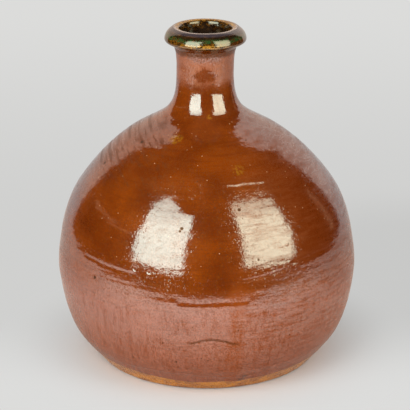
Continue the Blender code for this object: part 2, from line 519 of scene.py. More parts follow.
@dataclass(frozen=True)
class Tilt:
    """A soft place where the wall leans out or in a little, in degrees and millimetres."""

    turn: float
    height: float
    half_turn: float
    below: float
    above: float
    slope: float

    def lift(self, skin: "Skin") -> Rows:
        """How far it moves each point out.

        Args:
            skin: The points.

        Returns:
            Lengths.
        """
        reach = skin.along - skin.along_at(np.array(self.height * MM))
        half_height = np.where(reach < 0, self.below, self.above) * MM
        swell = self.slope * reach * np.exp(-((reach / half_height) ** 2))
        return swell * hump(skin.turns / DEGREE, self.turn, self.half_turn)


@dataclass(frozen=True)
class Swell:
    """A broad throwing ring all the way round, in millimetres."""

    height: float
    half_height: float
    rise: float

    def lift(self, skin: "Skin") -> Rows:
        """How far it moves each point out."""
        middle = skin.along_at(np.array(self.height * MM))
        return self.rise * MM * hump(skin.along, middle, self.half_height * MM)


@dataclass(frozen=True)
class Ripple:
    """Random unevenness: how high, how long up the wall, and how long round it, in turns."""

    rise: float
    along: float
    around: float

    def lift(self, skin: "Skin", wheel: Wheel) -> Rows:
        """How far it moves each point out."""
        return self.rise * wheel.field(skin.shape, skin.step, self.along, self.around)


@dataclass
class Skin:
    """The grid of points on the outer side of a coat."""

    line: Line
    along: Rows
    turns: Rows
    step: float
    lift: float
    collar_height: float = 12 * MM

    def __post_init__(self) -> None:
        """Measures the height of the glaze over the stretch of clay that climbs."""
        climbing = self.line.along < self.line.where(self.line.points[:, 1].max() - self.collar_height)
        along = self.line.along[climbing]
        heights = (self.line.at(along) + self.line.normals(along) * self.lift)[:, 1]
        self.scale = (np.maximum.accumulate(heights), along)

    def along_at(self, heights: Rows) -> Rows:
        """Distance along the clay at which the glaze outside has a height."""
        return np.interp(heights, *self.scale)

    @property
    def shape(self) -> tuple[int, int]:
        """Number of rows and columns."""
        return self.along.shape


class Paint:
    """A number that varies over a surface. Arithmetic on it adds Math nodes."""

    def __init__(self, graph: "Graph", socket: Socket) -> None:
        """Wraps a socket of a graph."""
        self.graph = graph
        self.socket = socket

    def math(self, operation: str, *others: "Paint | float") -> "Paint":
        """Adds one Math node that takes this number first."""
        return self.graph.math(operation, self, *others)

    def __add__(self, other: "Paint | float") -> "Paint":
        """Sum."""
        return self.math("ADD", other)

    __radd__ = __add__

    def __sub__(self, other: "Paint | float") -> "Paint":
        """Difference."""
        return self.math("SUBTRACT", other)

    def __mul__(self, other: "Paint | float") -> "Paint":
        """Product."""
        return self.math("MULTIPLY", other)

    __rmul__ = __mul__

    def __truediv__(self, other: "Paint | float") -> "Paint":
        """Quotient."""
        return self.math("DIVIDE", other)

    def __rsub__(self, other: float) -> "Paint":
        """Difference, number first."""
        return self.graph.math("SUBTRACT", other, self)

    def __rtruediv__(self, other: float) -> "Paint":
        """Quotient, number first."""
        return self.graph.math("DIVIDE", other, self)

    def rise(self, low: float, high: float) -> "Paint":
        """A smooth step.

        Args:
            low: Where it is still 0.
            high: Where it is 1. It falls instead where this is the smaller number.

        Returns:
            The step, 0 to 1.
        """
        start, end = (0.0, 1.0) if low < high else (1.0, 0.0)
        values = {"Value": self, "From Min": min(low, high), "From Max": max(low, high)}
        values |= {"To Min": start, "To Max": end}
        node = self.graph.node("ShaderNodeMapRange", {"interpolation_type": "SMOOTHSTEP"}, values)
        return Paint(self.graph, node.outputs[0])

    def band(self, low: float, high: float, soft: float) -> "Paint":
        """1 between low and high, fading to 0 over a soft stretch outside them."""
        return self.rise(low - soft, low) * self.rise(high + soft, high)


def from_axis(x: Paint, y: Paint) -> Paint:
    """Distance of a place from the axis."""
    return (x * x + y * y).math("SQRT")


class Ray(Enum):
    """Kinds of ray that a stage piece and the world tell apart."""

    CAMERA = "Is Camera Ray"
    GLOSSY = "Is Glossy Ray"


class Graph:
    """A node tree, and how nodes are added to it."""

    def __init__(self, tree: bpy.types.NodeTree) -> None:
        """Wraps a tree."""
        self.tree = tree

    def node(self, kind: str, settings: dict[str, Any], values: dict[str | int, Any]) -> bpy.types.Node:
        """Adds any node.

        Args:
            kind: The node's type.
            settings: Its properties, set before its sockets.
            values: Its inputs by name or number: numbers, vectors, colours or links.

        Returns:
            The node.
        """
        node = self.tree.nodes.new(kind)
        for key, value in settings.items():
            setattr(node, key, value)
        for key, value in values.items():
            self.feed(node.inputs[key], value)
        return node

    def feed(self, socket: Socket, value: Any) -> None:
        """Fills a socket.

        Args:
            socket: The socket.
            value: What is linked to it, or set there.
        """
        if isinstance(value, Paint):
            value = value.socket
        if isinstance(value, Socket):
            self.tree.links.new(value, socket)
        elif socket.type == "RGBA":
            socket.default_value = (*value, 1)
        else:
            socket.default_value = value

    def math(self, operation: str, *values: Paint | float) -> Paint:
        """Adds one Math node."""
        node = self.node("ShaderNodeMath", {"operation": operation}, dict(enumerate(values)))
        return Paint(self, node.outputs[0])

    def rays(self, kind: Ray) -> Paint:
        """1 for rays of a kind, 0 for others."""
        return Paint(self, self.node("ShaderNodeLightPath", {}, {}).outputs[kind.value])


@dataclass(frozen=True)
class Grain:
    """A noise: the size of one swing along x, y and z, or round the wall at a radius and up it."""

    size: tuple[float, ...]
    detail: float = 3.0
    rough: float = 0.5
    swirl: float = 0.0
    radius: float = 88 * MM


@dataclass(frozen=True)
class Spot:
    """A soft round spot, squashed axis by axis, and full within a share of its radius."""

    place: Place
    radius: float
    squash: Place = (1, 1, 1)
    core_share: float = 0.4


class Shelf(Graph):
    """A material's node tree and what is taken from it: coordinates, noise and mixes."""

    def __init__(self, name: str) -> None:
        """Starts a material with one Principled shader."""
        self.material = bpy.data.materials.new(name)
        self.material.use_nodes = True
        super().__init__(self.material.node_tree)
        self.shader = self.tree.nodes["Principled BSDF"]

    def position(self) -> Socket:
        """The point on the object, in metres."""
        return self.node("ShaderNodeTexCoord", {}, {}).outputs["Object"]

    def axes(self) -> tuple[Paint, Paint, Paint]:
        """The point's three coordinates."""
        split = self.node("ShaderNodeSeparateXYZ", {}, {0: self.position()})
        return tuple(Paint(self, output) for output in split.outputs)

    def darkening(self) -> Paint:
        """How much darker the drawn lines are, 0 to 1."""
        return Paint(self, self.node("ShaderNodeAttribute", {"attribute_name": "darkening"}, {}).outputs["Fac"])

    def vector(self, x: Paint | float, y: Paint | float, z: Paint | float) -> Socket:
        """A vector from three numbers."""
        return self.node("ShaderNodeCombineXYZ", {}, {0: x, 1: y, 2: z}).outputs[0]

    def vector_math(self, operation: str, first: Any, second: Any = (0, 0, 0)) -> bpy.types.Node:
        """Adds one Vector Math node."""
        return self.node("ShaderNodeVectorMath", {"operation": operation}, {0: first, 1: second})

    def wrapped(self, radius: float, around: float, up: float) -> Socket:
        """Place on the wall, rolled out without a seam.

        Args:
            radius: Radius at which the size around holds.
            around: Size of one unit round the axis.
            up: Size of one unit of height.

        Returns:
            The place.
        """
        x, y, z = self.axes()
        reach = from_axis(x, y)
        scale = radius / around
        return self.vector(x / reach * scale, y / reach * scale, z / up)

    def noise(self, grain: Grain, place: Socket | None = None) -> Paint:
        """Smooth noise between 0 and 1.

        Args:
            grain: The noise.
            place: Where on the surface, in swings; worked out from the grain when left out.

        Returns:
            The noise.
        """
        if place is None and len(grain.size) == 2:
            place = self.wrapped(grain.radius, *grain.size)
        elif place is None:
            scale = [1 / length for length in grain.size]
            place = self.vector_math("MULTIPLY", self.position(), scale).outputs[0]
        values = {"Vector": place, "Scale": 1.0, "Detail": grain.detail, "Roughness": grain.rough}
        node = self.node("ShaderNodeTexNoise", {}, {**values, "Distortion": grain.swirl})
        return Paint(self, node.outputs["Fac"])

    def specks(self, spacing: float) -> Paint:
        """Distance to the nearest of scattered points, in shares of their spacing."""
        values = {"Vector": self.position(), "Scale": 1 / spacing, "Randomness": 1.0}
        return Paint(self, self.node("ShaderNodeTexVoronoi", {"feature": "F1"}, values).outputs["Distance"])

    def near(self, spot: Spot) -> Paint:
        """The mask of a soft spot.

        Args:
            spot: The spot.

        Returns:
            1 inside, 0 outside.
        """
        gap = self.vector_math("SUBTRACT", self.position(), spot.place).outputs[0]
        scaled = self.vector_math("MULTIPLY", gap, spot.squash).outputs[0]
        length = Paint(self, self.vector_math("LENGTH", scaled).outputs["Value"])
        return length.rise(spot.radius, spot.radius * spot.core_share)

    def spots(self, spots: Sequence[Spot]) -> Paint:
        """The mask of several soft spots.

        Args:
            spots: The spots.

        Returns:
            1 inside any of them, 0 outside.
        """
        total, *others = [self.near(spot) for spot in spots]
        for other in others:
            total = total.math("MAXIMUM", other)
        return total

    def painted(self, colour: Any, *layers: tuple[Paint, Any]) -> Socket:
        """Lays colours over each other.

        Args:
            colour: Colour below, or a link to one.
            layers: Each how much of it covers what is below, and its colour or a link to one.

        Returns:
            The colour.
        """
        for share, cover in layers:
            node = self.node("ShaderNodeMix", {"data_type": "RGBA"}, {0: share, 6: colour, 7: cover})
            colour = node.outputs[2]
        return colour

    def relief(self, *layers: tuple[Paint, float]) -> Socket:
        """A normal from fine relief.

        Args:
            layers: Each a height between 0 and 1 and the depth it stands for, in metres.

        Returns:
            The normal.
        """
        below: dict[str, Socket] = {}
        for height, depth in layers:
            values = {"Height": height, "Distance": depth, "Strength": 1.0, **below}
            below = {"Normal": self.node("ShaderNodeBump", {}, values).outputs[0]}
        return below["Normal"]

    def dress(self, shader: bpy.types.Node, colour: Any, roughness: Any, normal: Any, ior: float) -> None:
        """Feeds one Principled shader.

        Args:
            shader: The shader.
            colour: Base colour, or a link to one.
            roughness: Roughness, or a link to it.
            normal: Link to a normal.
            ior: Index of refraction.
        """
        values = {"Base Color": colour, "Roughness": roughness, "Normal": normal, "IOR": ior}
        for name, value in values.items():
            self.feed(shader.inputs[name], value)

    def send_out(self, shader: Socket) -> Socket:
        """Makes a shader the material's surface, and gives it back."""
        self.feed(self.tree.nodes["Material Output"].inputs["Surface"], shader)
        return shader

    def glow(self, colour: Any, strength: float = 1.0) -> Socket:
        """A shader that glows in a colour, or in what is linked."""
        return self.node("ShaderNodeEmission", {}, {"Color": colour, "Strength": strength}).outputs[0]

    def only_glow(self, colour: Any, strength: float) -> Material:
        """Makes the whole material glow.

        Args:
            colour: Colour of the glow, or a link to one.
            strength: How bright it is.

        Returns:
            The material.
        """
        self.tree.nodes.remove(self.shader)
        self.send_out(self.glow(colour, strength))
        return self.material

    def lay_over(self, share: Paint, second: Socket, first: Socket | None = None) -> Socket:
        """Mixes a second shader over the first and sends the result out.

        Args:
            share: How much of the second shader.
            second: Its output.
            first: The shader below; the material's own when left out.

        Returns:
            The mixed shader's output.
        """
        below = self.shader.outputs[0] if first is None else first
        mixed = self.node("ShaderNodeMixShader", {}, {0: share, 1: below, 2: second})
        return self.send_out(mixed.outputs[0])


@dataclass(frozen=True)
class Mark:
    """A small fleck on the glaze, by turn, height and radius, in degrees and millimetres."""

    turn: float
    height: float
    radius: float


@dataclass
class IronGlaze:
    """Glossy orange-brown glaze with satin patches, amber smears and iron specks, and painted light: a
    painted reflection on the neck, painted bounce light low on the belly, painted glints and painted shade.

    A Fade is where something is 0 and where it is 1; a Band is 1 between two places and soft
    for a stretch outside them. Both are heights, or places across where the name says so.
    """

    place: Callable[[float, float], Place]
    deep: Colour = (0.145, 0.0215, 0.0006)
    warm: Colour = (0.240, 0.0425, 0.0010)
    # Painted light: the lower belly is painted redder, for the paper's bounce light and the warm haze
    # reflected there.
    bounce_lit_rosy: Colour = (0.300, 0.0500, 0.0060)
    shaded: Colour = (0.085, 0.0170, 0.0015)
    amber: Colour = (0.30, 0.115, 0.004)
    dark: Colour = (0.020, 0.008, 0.003)
    # Painted reflection: the pale pink that the paper floor shows in the neck's glaze.
    reflected_pink: Colour = (0.30, 0.100, 0.050)
    # Colour of the painted glints.
    pale: Colour = (0.60, 0.38, 0.20)
    gloss_ior: float = 2.25
    satin_ior: float = 1.45
    satin_roughness: float = 0.38
    satin_tint: Colour = (1.0, 0.70, 0.40)
    cloud_grain: Grain = Grain((28 * MM, 28 * MM, 20 * MM))
    dapple_grain: Grain = Grain((1.5 * MM,) * 3)
    salt_grain: Grain = Grain((0.62 * MM, 0.62 * MM, 0.85 * MM), detail=2, rough=0.6)
    patch_grain: Grain = Grain((4 * MM, 4 * MM, 3.2 * MM), detail=4, rough=0.7, swirl=0.6)
    peel_grain: Grain = Grain((2.6 * MM,) * 3, detail=2)
    run_grain: Grain = Grain((2.4 * MM, 11 * MM), rough=0.6)
    ring_grain: Grain = Grain((45 * MM, 0.9 * MM), detail=2)
    bar_grain: Grain = Grain((18 * MM, 2.2 * MM), rough=0.6)
    weave_grain: Grain = Grain((5 * MM, 1.0 * MM), rough=0.7)
    line_grain: Grain = Grain((16 * MM, 1.3 * MM), detail=2)
    drag_grain: Grain = Grain((6 * MM, 3.4 * MM), rough=0.6)
    glint_spacing: float = 4.6 * MM
    fleck_spacing: float = 8 * MM
    bubble_spacing: float = 1.4 * MM
    foot_fade: Fade = (34 * MM, 8 * MM)
    patch_fade: Fade = (62 * MM, 42 * MM)
    run_fade: Fade = (66 * MM, 52 * MM)
    bounce_lit_fade: Fade = (74 * MM, 50 * MM)
    streak_fade: Fade = (78 * MM, 66 * MM)
    # Heights of the painted shade on the right side.
    right_shade_fade: Fade = (66 * MM, 80 * MM)
    glint_fade: Fade = (66 * MM, 90 * MM)
    drag_start: Fade = (112 * MM, 122 * MM)
    drag_end: Fade = (152 * MM, 146 * MM)
    below_neck_fade: Fade = (142 * MM, 124 * MM)
    reflection_start: Fade = (165.5 * MM, 172.5 * MM)
    reflection_end: Fade = (187.0 * MM, 184.4 * MM)
    rim_fade: Fade = (184.4 * MM, 186.8 * MM)
    drag_across: Fade = (-16 * MM, -26 * MM)
    weave_across: Fade = (-10 * MM, 50 * MM)
    bar_across: Fade = (0.0, 24 * MM)
    right_across: Fade = (5 * MM, 60 * MM)
    sleek_band: Band = (44 * MM, 60 * MM, 8 * MM)
    weave_band: Band = (36 * MM, 76 * MM, 12 * MM)
    shoulder_band: Band = (74 * MM, 116 * MM, 8 * MM)
    root_band: Band = (143 * MM, 161 * MM, 5 * MM)
    streak_turn: float = 11 * DEGREE
    streak_edge: Fade = (4.2 * DEGREE, 1.2 * DEGREE)
    rim_ragged: float = 3 * MM
    reflection_ragged: float = 7 * MM
    reflection_dip: float = 3 * MM
    under_collar: Spot = Spot((-1 * MM, -17 * MM, 184 * MM), 12 * MM)
    # Where the neck's painted reflection is strongest, at the front.
    strongest_reflection: Spot = Spot((-1 * MM, -17 * MM, 181 * MM), 11 * MM, (1, 1, 1.3))
    brown_neck: Spot = Spot((-1 * MM, -16.8 * MM, 174.6 * MM), 9 * MM, (0.9, 1, 1.4))
    neck_root: Spot = Spot((-1 * MM, -29 * MM, 146 * MM), 13 * MM)
    flecks: tuple[Mark, ...] = (
        Mark(-10.2, 102.8, 1.4), Mark(-10.9, 101.6, 1.2), Mark(15.0, 111.3, 1.3), Mark(20.1, 86.0, 0.9),
        Mark(-56.8, 136.3, 1.5), Mark(-73.2, 121.9, 1.6), Mark(-85.9, 103.9, 1.4), Mark(-46.3, 68.1, 1.5),
        Mark(-27.6, 161.9, 0.8), Mark(-12.2, 25.0, 0.9), Mark(0.4, 26.8, 0.8), Mark(-16.8, 37.4, 0.7),
        Mark(-31.0, 23.0, 0.9), Mark(4.0, 113.0, 0.6), Mark(33.0, 38.0, 0.9),
    )
    drip: tuple[Mark, ...] = (Mark(15.0, 5.5, 2.4), Mark(15.8, 8.5, 2.6), Mark(16.6, 12.0, 2.4))
    pits: tuple[Mark, ...] = (Mark(-27.6, 79.4, 1.9), Mark(-21.8, 79.0, 1.6), Mark(26.0, 79.5, 1.2))
    smears: tuple[Mark, ...] = (Mark(-27.6, 141.0, 5.2), Mark(19.7, 128.6, 4.5), Mark(6.0, 151.0, 2.0))

    def __post_init__(self) -> None:
        """Starts the material, with the noises and marks that more than one part of it takes."""
        shelf = self.shelf = Shelf("Iron glaze")
        self.x, self.y, self.height = shelf.axes()
        self.dapple = shelf.noise(self.dapple_grain)
        self.salt = shelf.noise(self.salt_grain)
        self.patches = shelf.noise(self.patch_grain)
        self.runs = shelf.noise(self.run_grain)
        self.bars = shelf.noise(self.bar_grain)
        self.darkening = shelf.darkening()
        self.neck_reflection = self.place_neck_reflection()
        self.drags = self.place_drags()
        self.streak = self.place_streak()
        # Painted glints: scattered pale dots of colour, a little satin, standing in for sparkle.
        self.painted_glints = shelf.specks(self.glint_spacing).rise(0.085, 0.04) * self.height.rise(*self.glint_fade)
        fine_flecks = shelf.specks(self.fleck_spacing).rise(0.07, 0.03)
        self.all_flecks = fine_flecks.math("MAXIMUM", self.spots(self.flecks))
        # Painted shade under the collar: the top of the neck is painted near-black brown.
        self.collar_shade = (self.height + (self.patches - 0.5) * self.rim_ragged).rise(*self.rim_fade)

    def spots(self, marks: Sequence[Mark]) -> Paint:
        """Soft spots at several marks."""
        spots = [Spot(self.place(mark.turn, mark.height), mark.radius * MM) for mark in marks]
        return self.shelf.spots(spots)

    def place_neck_reflection(self) -> Paint:
        """Finds where the neck is painted with a pale, satin reflection of the paper, all but one brown patch
        in front.

        Returns:
            The mask.
        """
        near = self.shelf.near
        ragged = self.height + (self.patches - 0.5) * self.reflection_ragged
        upper_edge = (ragged + near(self.under_collar) * self.reflection_dip).rise(*self.reflection_end)
        neck = ragged.rise(*self.reflection_start) * upper_edge * (near(self.strongest_reflection) * 0.22 + 0.78)
        brown = (near(self.brown_neck) + (self.patches - 0.5) * 2.4).rise(0.30, 1.00)
        broken = 1.15 - self.patches.rise(0.40, 0.60) * 0.35 - self.salt.rise(0.38, 0.60) * 0.35
        return neck * (1 - brown * 0.85) * broken

    def place_drags(self) -> Paint:
        """Finds the dark drag marks that slant down the left shoulder.

        Returns:
            The mask.
        """
        across, along = self.drag_grain.size
        slanted = self.shelf.vector((self.x - self.height) / across, 0.0, (self.height + self.x) / along)
        marks = self.shelf.noise(self.drag_grain, slanted).rise(0.47, 0.67)
        shoulder = self.height.rise(*self.drag_start) * self.height.rise(*self.drag_end)
        return marks * shoulder * self.x.rise(*self.drag_across)

    def place_streak(self) -> Paint:
        """Finds the brown run down the front, a little to the right of the middle.

        Returns:
            The mask.
        """
        turn = self.x.math("ARCTAN2", self.y * -1.0) + (self.runs - 0.5) * 0.05
        aside = (turn - self.streak_turn).math("ABSOLUTE").rise(*self.streak_edge)
        return aside * self.height.rise(*self.streak_fade)

    def colour(self) -> Socket:
        """Lays the colours over each other, from the ground colour up.

        Returns:
            The colour.
        """
        clouds, rings = map(self.shelf.noise, (self.cloud_grain, self.ring_grain))
        # Painted shade: the right side above the lower belly is painted a deeper brown.
        right_side_shade = self.x.rise(*self.right_across) * self.height.rise(*self.right_shade_fade)
        return self.shelf.painted(
            self.deep,
            (clouds.rise(0.3, 0.7), self.warm),
            # Painted bounce light and reflection on the lower belly.
            (self.height.rise(*self.bounce_lit_fade) * 0.7, self.bounce_lit_rosy),
            (self.runs.rise(0.45, 0.8) * 0.3, self.deep),
            (rings.rise(0.5, 0.72) * 0.45, self.deep),
            (self.dapple.rise(0.5, 0.85) * 0.22, self.amber),
            (self.salt.rise(0.62, 0.34) * 0.36, self.dark),
            (self.patches.rise(0.47, 0.68) * self.height.rise(*self.patch_fade) * 0.35, self.deep),
            (self.drags * 0.36, self.dark),
            # Painted reflection of the paper on the neck.
            (self.neck_reflection, self.reflected_pink),
            (self.streak * 0.35, self.warm),
            (self.spots(self.smears) * self.dapple.rise(0.38, 0.6) * 0.8, self.amber),
            (right_side_shade * 0.95, self.deep),
            (self.painted_glints * 0.65, self.pale),
            (self.all_flecks * 0.8, self.dark),
            (self.spots(self.drip) * 0.5, self.dark),
            (self.darkening * 0.85, self.dark),
            # Painted shade under the collar.
            (self.collar_shade * 0.9, self.shaded),
        )

    def relief(self) -> Socket:
        """Lays the fine relief of the surface.

        Returns:
            The normal.
        """
        peel, lines = map(self.shelf.noise, (self.peel_grain, self.line_grain))
        below_neck = self.height.rise(*self.below_neck_fade)
        bubbles = self.shelf.specks(self.bubble_spacing).rise(0.40, 0.05) * self.patches.rise(0.36, 0.56)
        return self.shelf.relief(
            (peel, 0.06 * MM),
            (self.bars, 0.022 * MM),
            (lines, 0.012 * MM),
            (self.salt * (below_neck * 0.7 + 0.3), 0.018 * MM),
            (bubbles * below_neck, 0.034 * MM),
            (1 - self.spots(self.pits), 0.14 * MM),
        )

    def satin_share(self) -> Paint:
        """Adds up what makes the glaze satin.

        Returns:
            How much of it is, 0 to 1.
        """
        weave = self.shelf.noise(self.weave_grain)
        woven = self.x.rise(*self.weave_across) * self.height.band(*self.weave_band)
        calm = self.height.band(*self.shoulder_band) + self.height.band(*self.root_band) * 1.4
        sleek = self.height.band(*self.sleek_band)
        parts = (
            self.patches.rise(0.46, 0.70) * 0.22,
            self.bars.rise(0.43, 0.68) * (self.x.rise(*self.bar_across) * 0.32 + 0.03),
            self.height.rise(*self.foot_fade) * 0.15,
            self.neck_reflection * 0.8,
            self.streak * 0.2,
            self.all_flecks,
            self.painted_glints * 0.4,
            self.salt.rise(0.62, 0.36) * (0.68 - calm * 0.34 - sleek * 0.26),
            self.salt.rise(0.52, 0.72) * calm * 0.24,
            self.runs.rise(0.44, 0.72) * self.height.rise(*self.run_fade) * 0.32,
            weave.rise(0.42, 0.62) * woven * 0.34,
            self.drags * 0.6,
            self.collar_shade * 0.6,
            self.darkening * 0.8,
            self.shelf.near(self.neck_root) * 0.8,
        )
        return sum(parts).math("MINIMUM", 1.0)

    def material(self) -> Material:
        """Mixes the glossy glaze and the satin one.

        Returns:
            The material.
        """
        shelf, colour, normal = self.shelf, self.colour(), self.relief()
        shelf.dress(shelf.shader, colour, self.dapple * 0.05 + 0.05, normal, self.gloss_ior)
        satin = shelf.node("ShaderNodeBsdfPrincipled", {}, {"Specular Tint": self.satin_tint})
        shelf.dress(satin, colour, self.satin_roughness, normal, self.satin_ior)
        shelf.lay_over(self.satin_share(), satin.outputs[0])
        return shelf.material


@dataclass(frozen=True)
class RimGlaze:
    """The rim's glaze: grey-violet on top, green round the shoulder of the roll, amber below, with painted
    highlights on the front lip and low on the roll.
    """

    clay: ClayLine
    black: Colour = linear(30, 18, 10)
    violet: Colour = linear(58, 50, 55)
    green: Colour = linear(38, 64, 30)
    olive: Colour = linear(44, 28, 8)
    amber: Colour = linear(112, 70, 12)
    gold: Colour = linear(180, 130, 48)
    # Colour of the painted highlight on the front lip.
    pale: Colour = linear(164, 146, 136)
    brown: Colour = linear(84, 42, 16)
    skin: Colour = (0.090, 0.017, 0.0012)
    tint: Colour = (1.0, 0.90, 0.76)
    ior: float = 1.85
    neck_lean: tuple[float, float] = (-1.05 * MM, -1.35 * MM)
    gold_glint_across: Fade = (16 * MM, 7 * MM)
    right_across: Fade = (8 * MM, 20 * MM)
    lip_sheen_front: Fade = (8 * MM, -4 * MM)
    throat_reach: Fade = (16.2 * MM, 15.2 * MM)
    throat_fade: Fade = (193 * MM, 199 * MM)
    wander: Grain = Grain((3.5 * MM, 12 * MM), detail=4, rough=0.65, radius=23 * MM)
    fine: Grain = Grain((1.3 * MM,) * 3, rough=0.65)
    drops: Grain = Grain((2.2 * MM, 2.2 * MM, 1.6 * MM), detail=4, rough=0.6)
    peel: Grain = Grain((2.0 * MM,) * 3, detail=2)

    def material(self) -> Material:
        """Builds the material, by the angle in degrees round the collar's roll.

        Returns:
            The material.
        """
        shelf = Shelf("Rim glaze")
        x, y, z = shelf.axes()
        x = x - self.neck_lean[0]
        y = y - self.neck_lean[1]
        reach = from_axis(x, y)
        roll_radius, roll_height = self.clay.roll_centre.tolist()
        out = reach - roll_radius
        up = z - roll_height + out * math.tan(self.clay.roll_droop)
        angle = up.math("ARCTAN2", out) * (1 / DEGREE)
        wander, fine, drops, peel = map(shelf.noise, (self.wander, self.fine, self.drops, self.peel))
        shifted = angle + (wander - 0.5) * 50.0
        speckle = drops * 0.6 + fine * 0.4 + x * -1.5
        front = x.math("ABSOLUTE").rise(*self.gold_glint_across)
        inner = shelf.painted(self.amber, (drops.rise(0.42, 0.6), self.gold))
        lit = drops.rise(0.45, 0.62) * z.rise(*self.throat_fade)
        throat = shelf.painted(self.black, (lit * 0.8, self.amber))
        colour = shelf.painted(
            self.olive,
            (speckle.rise(0.44, 0.63), self.amber),
            (x.rise(*self.right_across) * 0.6, self.brown),
            # Painted highlight: a gold line low on the roll, only near the middle across, where it faces
            # front and back.
            (angle.band(-16.0, -2.0, 7.0) * drops.rise(0.42, 0.58) * front * 0.75, self.gold),
            (shifted.band(16.0, 44.0, 9.0) * fine.rise(0.36, 0.58) * 0.95, self.green),
            (shifted.band(42.0, 60.0, 8.0) * 0.8, self.black),
            (angle.rise(56.0, 74.0) * 0.95, self.violet),
            (angle.rise(92.0, 110.0), inner),
            (shifted.rise(-24.0, -50.0) * 0.7, self.olive),
            # Painted shade: the roll's underside is painted the same near-black brown as the shade under the
            # collar on the body glaze.
            (angle.rise(-56.0, -70.0), self.skin),
            (reach.rise(*self.throat_reach), throat),
            # Painted highlight: a pale line along the front of the mouth's inner edge.
            (angle.band(97.0, 106.0, 5.0) * y.rise(*self.lip_sheen_front), self.pale),
        )
        normal = shelf.relief((peel, 0.06 * MM), (fine, 0.042 * MM))
        rough = angle.band(62.0, 94.0, 8.0) * 0.12 + fine * 0.05 + 0.05
        shelf.dress(shelf.shader, colour, rough, normal, self.ior)
        shelf.feed(shelf.shader.inputs["Specular Tint"], self.tint)
        return shelf.material


@dataclass(frozen=True)
class FootGlaze:
    """The thin golden band over the foot's edge."""

    gold: Colour = linear(192, 120, 18)
    tan: Colour = linear(152, 86, 14)
    ior: float = 1.6
    broad: Grain = Grain((7 * MM, 3 * MM), detail=4, radius=66 * MM)
    fine: Grain = Grain((1.2 * MM,) * 3)

    def material(self) -> Material:
        """Builds the material.

        Returns:
            The material.
        """
        shelf = Shelf("Amber glaze")
        broad, fine = map(shelf.noise, (self.broad, self.fine))
        colour = shelf.painted(self.tan, (broad.rise(0.35, 0.65), self.gold))
        shelf.dress(shelf.shader, colour, fine * 0.2 + 0.18, shelf.relief((fine, 0.05 * MM)), self.ior)
        return shelf.material


@dataclass(frozen=True)
class LinerGlaze:
    """The liner: dark treacle brown, amber where the light gets in."""

    dark: Colour = linear(44, 20, 8)
    amber: Colour = linear(140, 84, 16)
    ior: float = 1.7
    lit_fade: Fade = (165 * MM, 195 * MM)
    streaks: Grain = Grain((2 * MM, 8 * MM), detail=4, rough=0.6, radius=14 * MM)
    peel: Grain = Grain((2.5 * MM,) * 3, detail=2)

    def material(self) -> Material:
        """Builds the material.

        Returns:
            The material.
        """
        shelf = Shelf("Liner glaze")
        _, _, height = shelf.axes()
        streaks, peel = map(shelf.noise, (self.streaks, self.peel))
        lit = streaks.rise(0.4, 0.7) * height.rise(*self.lit_fade)
        colour = shelf.painted(self.dark, (lit, self.amber))
        shelf.dress(shelf.shader, colour, streaks * 0.1 + 0.06, shelf.relief((peel, 0.05 * MM)), self.ior)
        return shelf.material


@dataclass(frozen=True)
class FiredClay:
    """Bare stoneware: toasted brown with grog and turning marks."""

    name: str = "Fired clay"
    toasted: Colour = linear(150, 96, 62)
    pale: Colour = linear(186, 136, 96)
    grog: Colour = linear(82, 52, 36)
    ior: float = 1.45
    turning: Grain = Grain((1.1 * MM,), detail=2)
    broad: Grain = Grain((26 * MM,) * 3, detail=4)
    fine: Grain = Grain((0.7 * MM,) * 3, rough=0.7)
    grog_spacing: float = 2.4 * MM

    def material(self) -> Material:
        """Builds the material.

        Returns:
            The material.
        """
        shelf = Shelf(self.name)
        x, y, _ = shelf.axes()
        marks = shelf.noise(self.turning, shelf.vector(from_axis(x, y) / self.turning.size[0], 0.0, 0.0))
        broad, fine = map(shelf.noise, (self.broad, self.fine))
        grog = shelf.specks(self.grog_spacing).rise(0.22, 0.1)
        colour = shelf.painted(self.toasted, (broad.rise(0.35, 0.65), self.pale), (grog * 0.7, self.grog))
        normal = shelf.relief((marks, 0.12 * MM), (fine, 0.10 * MM))
        shelf.dress(shelf.shader, colour, fine * 0.15 + 0.72, normal, self.ior)
        return shelf.material


class Side(Enum):
    """Which side of a coat a row of points lies on."""

    SKIN = "skin"
    AGAINST_CLAY = "against the clay"


